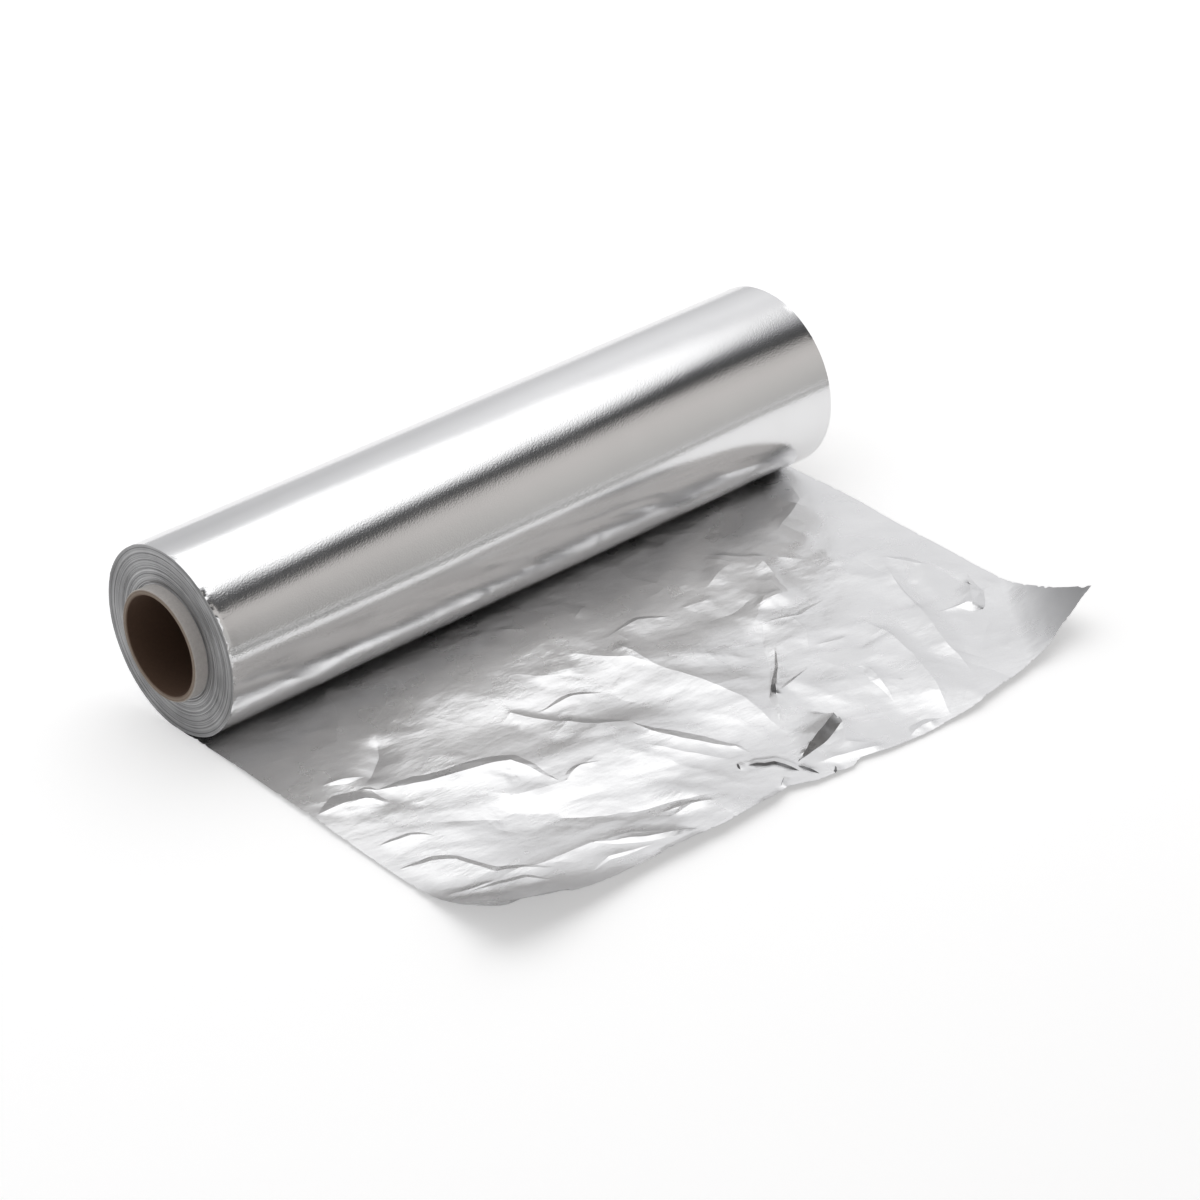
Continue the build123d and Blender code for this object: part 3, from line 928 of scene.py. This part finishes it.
def glowing_material(name):
    """A material that only glows, with its place on the piece."""
    material = bpy.data.materials.new(name)
    material.use_nodes = True
    nodes, links = material.node_tree.nodes, material.node_tree.links
    nodes.clear()
    place = nodes.new("ShaderNodeTexCoord").outputs["Object"]
    glow = nodes.new("ShaderNodeEmission")
    output = nodes.new("ShaderNodeOutputMaterial")
    links.new(glow.outputs["Emission"], output.inputs["Surface"])
    return material, nodes, links, place, glow, output


def make_softbox():
    """A large oval softbox overhead and a little behind, with a soft rim."""
    material, nodes, links, place, glow, output = glowing_material("softbox")
    length = nodes.new("ShaderNodeVectorMath")
    length.operation = "LENGTH"
    links.new(place, length.inputs[0])
    glow.inputs["Strength"].default_value = 1.4
    clear = nodes.new("ShaderNodeBsdfTransparent")
    mix = nodes.new("ShaderNodeMixShader")
    rim = range_node(nodes, links, length.outputs["Value"], 0.62, 1.0, 1, 0)
    rim.interpolation_type = "SMOOTHSTEP"
    links.new(rim.outputs["Result"], mix.inputs["Fac"])
    links.new(clear.outputs["BSDF"], mix.inputs[1])
    links.new(glow.outputs["Emission"], mix.inputs[2])
    links.new(mix.outputs["Shader"], output.inputs["Surface"])
    segments = 64
    angles = [math.tau * i / segments for i in range(segments)]
    corners = [(math.cos(angle), math.sin(angle), 0) for angle in angles]
    lamp = piece_from("softbox", corners, [tuple(range(segments))], material, smooth=False)
    lamp.scale = (0.88, 0.96, 1)
    lamp.location = (0.15, 0.30, 1.0)
    lamp.visible_camera = False


# The vault's greys: degrees from straight behind, over the top, to straight in front
CARD_BANDS = [
    (0, (0.68, 0.68, 0.69)), (10, (0.65, 0.65, 0.66)), (28, (0.78, 0.78, 0.79)),
    (42, (0.86, 0.86, 0.87)), (60, (0.80, 0.80, 0.81)), (74, (0.72, 0.72, 0.73)),
    (86, (0.50, 0.50, 0.51)), (98, (0.30, 0.30, 0.31)), (105, (0.10, 0.10, 0.104)),
    (115, (0.06, 0.06, 0.06)), (119, (0.17, 0.165, 0.16)), (127, (0.53, 0.51, 0.495)),
    (138, (0.60, 0.575, 0.56)), (153, (0.56, 0.545, 0.53)), (170, (0.50, 0.49, 0.48)),
    (179, (0.48, 0.475, 0.47)),
]


def make_cards():
    """A vault of studio cards over the roll: grey in front, a dark gap, paler behind."""
    material, nodes, links, place, glow, output = glowing_material("cards")
    parts = nodes.new("ShaderNodeSeparateXYZ")
    links.new(place, parts.inputs[0])
    angle = math_node(nodes, links, "ARCTAN2", parts.outputs["Z"], parts.outputs["Y"])
    skew = range_node(nodes, links, parts.outputs["X"], 0.93, 1.5, math.radians(-14), 0)
    turn = math_node(nodes, links, "ADD", angle, skew.outputs["Result"])
    turn = math_node(nodes, links, "DIVIDE", turn, math.pi)
    stops = [(degrees / 180, colour) for degrees, colour in CARD_BANDS]
    greys = ramp_node(nodes, links, turn, stops)
    links.new(greys.outputs["Color"], glow.inputs["Color"])
    shares = [(0, 0.18), (0.45, 0.18), (0.56, 0), (0.70, 0), (0.82, 0.30), (0.98, 0.50)]
    fall = ramp_node(nodes, links, turn, [(at, (share,) * 3) for at, share in shares]).outputs["Color"]
    near_end = range_node(nodes, links, parts.outputs["X"], 0.88, 1.35, 1, 0).outputs["Result"]
    dimmed = math_node(nodes, links, "MULTIPLY", fall, near_end)
    links.new(math_node(nodes, links, "SUBTRACT", 1, dimmed), glow.inputs["Strength"])
    reach, span, steps = 2.0, 5.0, 48
    corners, faces = [], []
    for i in range(steps + 1):
        y, z = reach * math.cos(math.pi * i / steps), reach * math.sin(math.pi * i / steps)
        corners += [(-span, y, z), (span, y, z)]
    for i in range(steps):
        faces.append((2 * i, 2 * i + 1, 2 * i + 3, 2 * i + 2))
    cards = piece_from("cards", corners, faces, material, smooth=False)
    cards.visible_camera = False


def make_front_card():
    """A low grey card standing in front, which only mirrors show."""
    material, nodes, links, place, glow, output = glowing_material("front_card")
    glow.inputs["Color"].default_value = (0.50, 0.495, 0.49, 1)
    across = nodes.new("ShaderNodeSeparateXYZ")
    links.new(place, across.inputs[0])
    strength = range_node(nodes, links, across.outputs["X"], -0.05, 0.35, 0.52, 0.85)
    links.new(strength.outputs["Result"], glow.inputs["Strength"])
    y, height, left, right = -0.32, 0.03, -1.5, 2.5
    corners = [(left, y, 0), (right, y, 0), (right, y, height), (left, y, height)]
    card = piece_from("front_card", corners, [(0, 1, 2, 3)], material, smooth=False)
    card.visible_camera = False
    card.visible_diffuse = False
    card.visible_shadow = False


def make_world():
    world = bpy.data.worlds.new("studio")
    bpy.context.scene.world = world
    world.use_nodes = True
    world.node_tree.nodes["Background"].inputs["Color"].default_value = (0.9, 0.9, 0.9, 1)


make_floor()
make_softbox()
make_cards()
make_front_card()
make_world()
bpy.context.scene.view_settings.view_transform = "Standard"
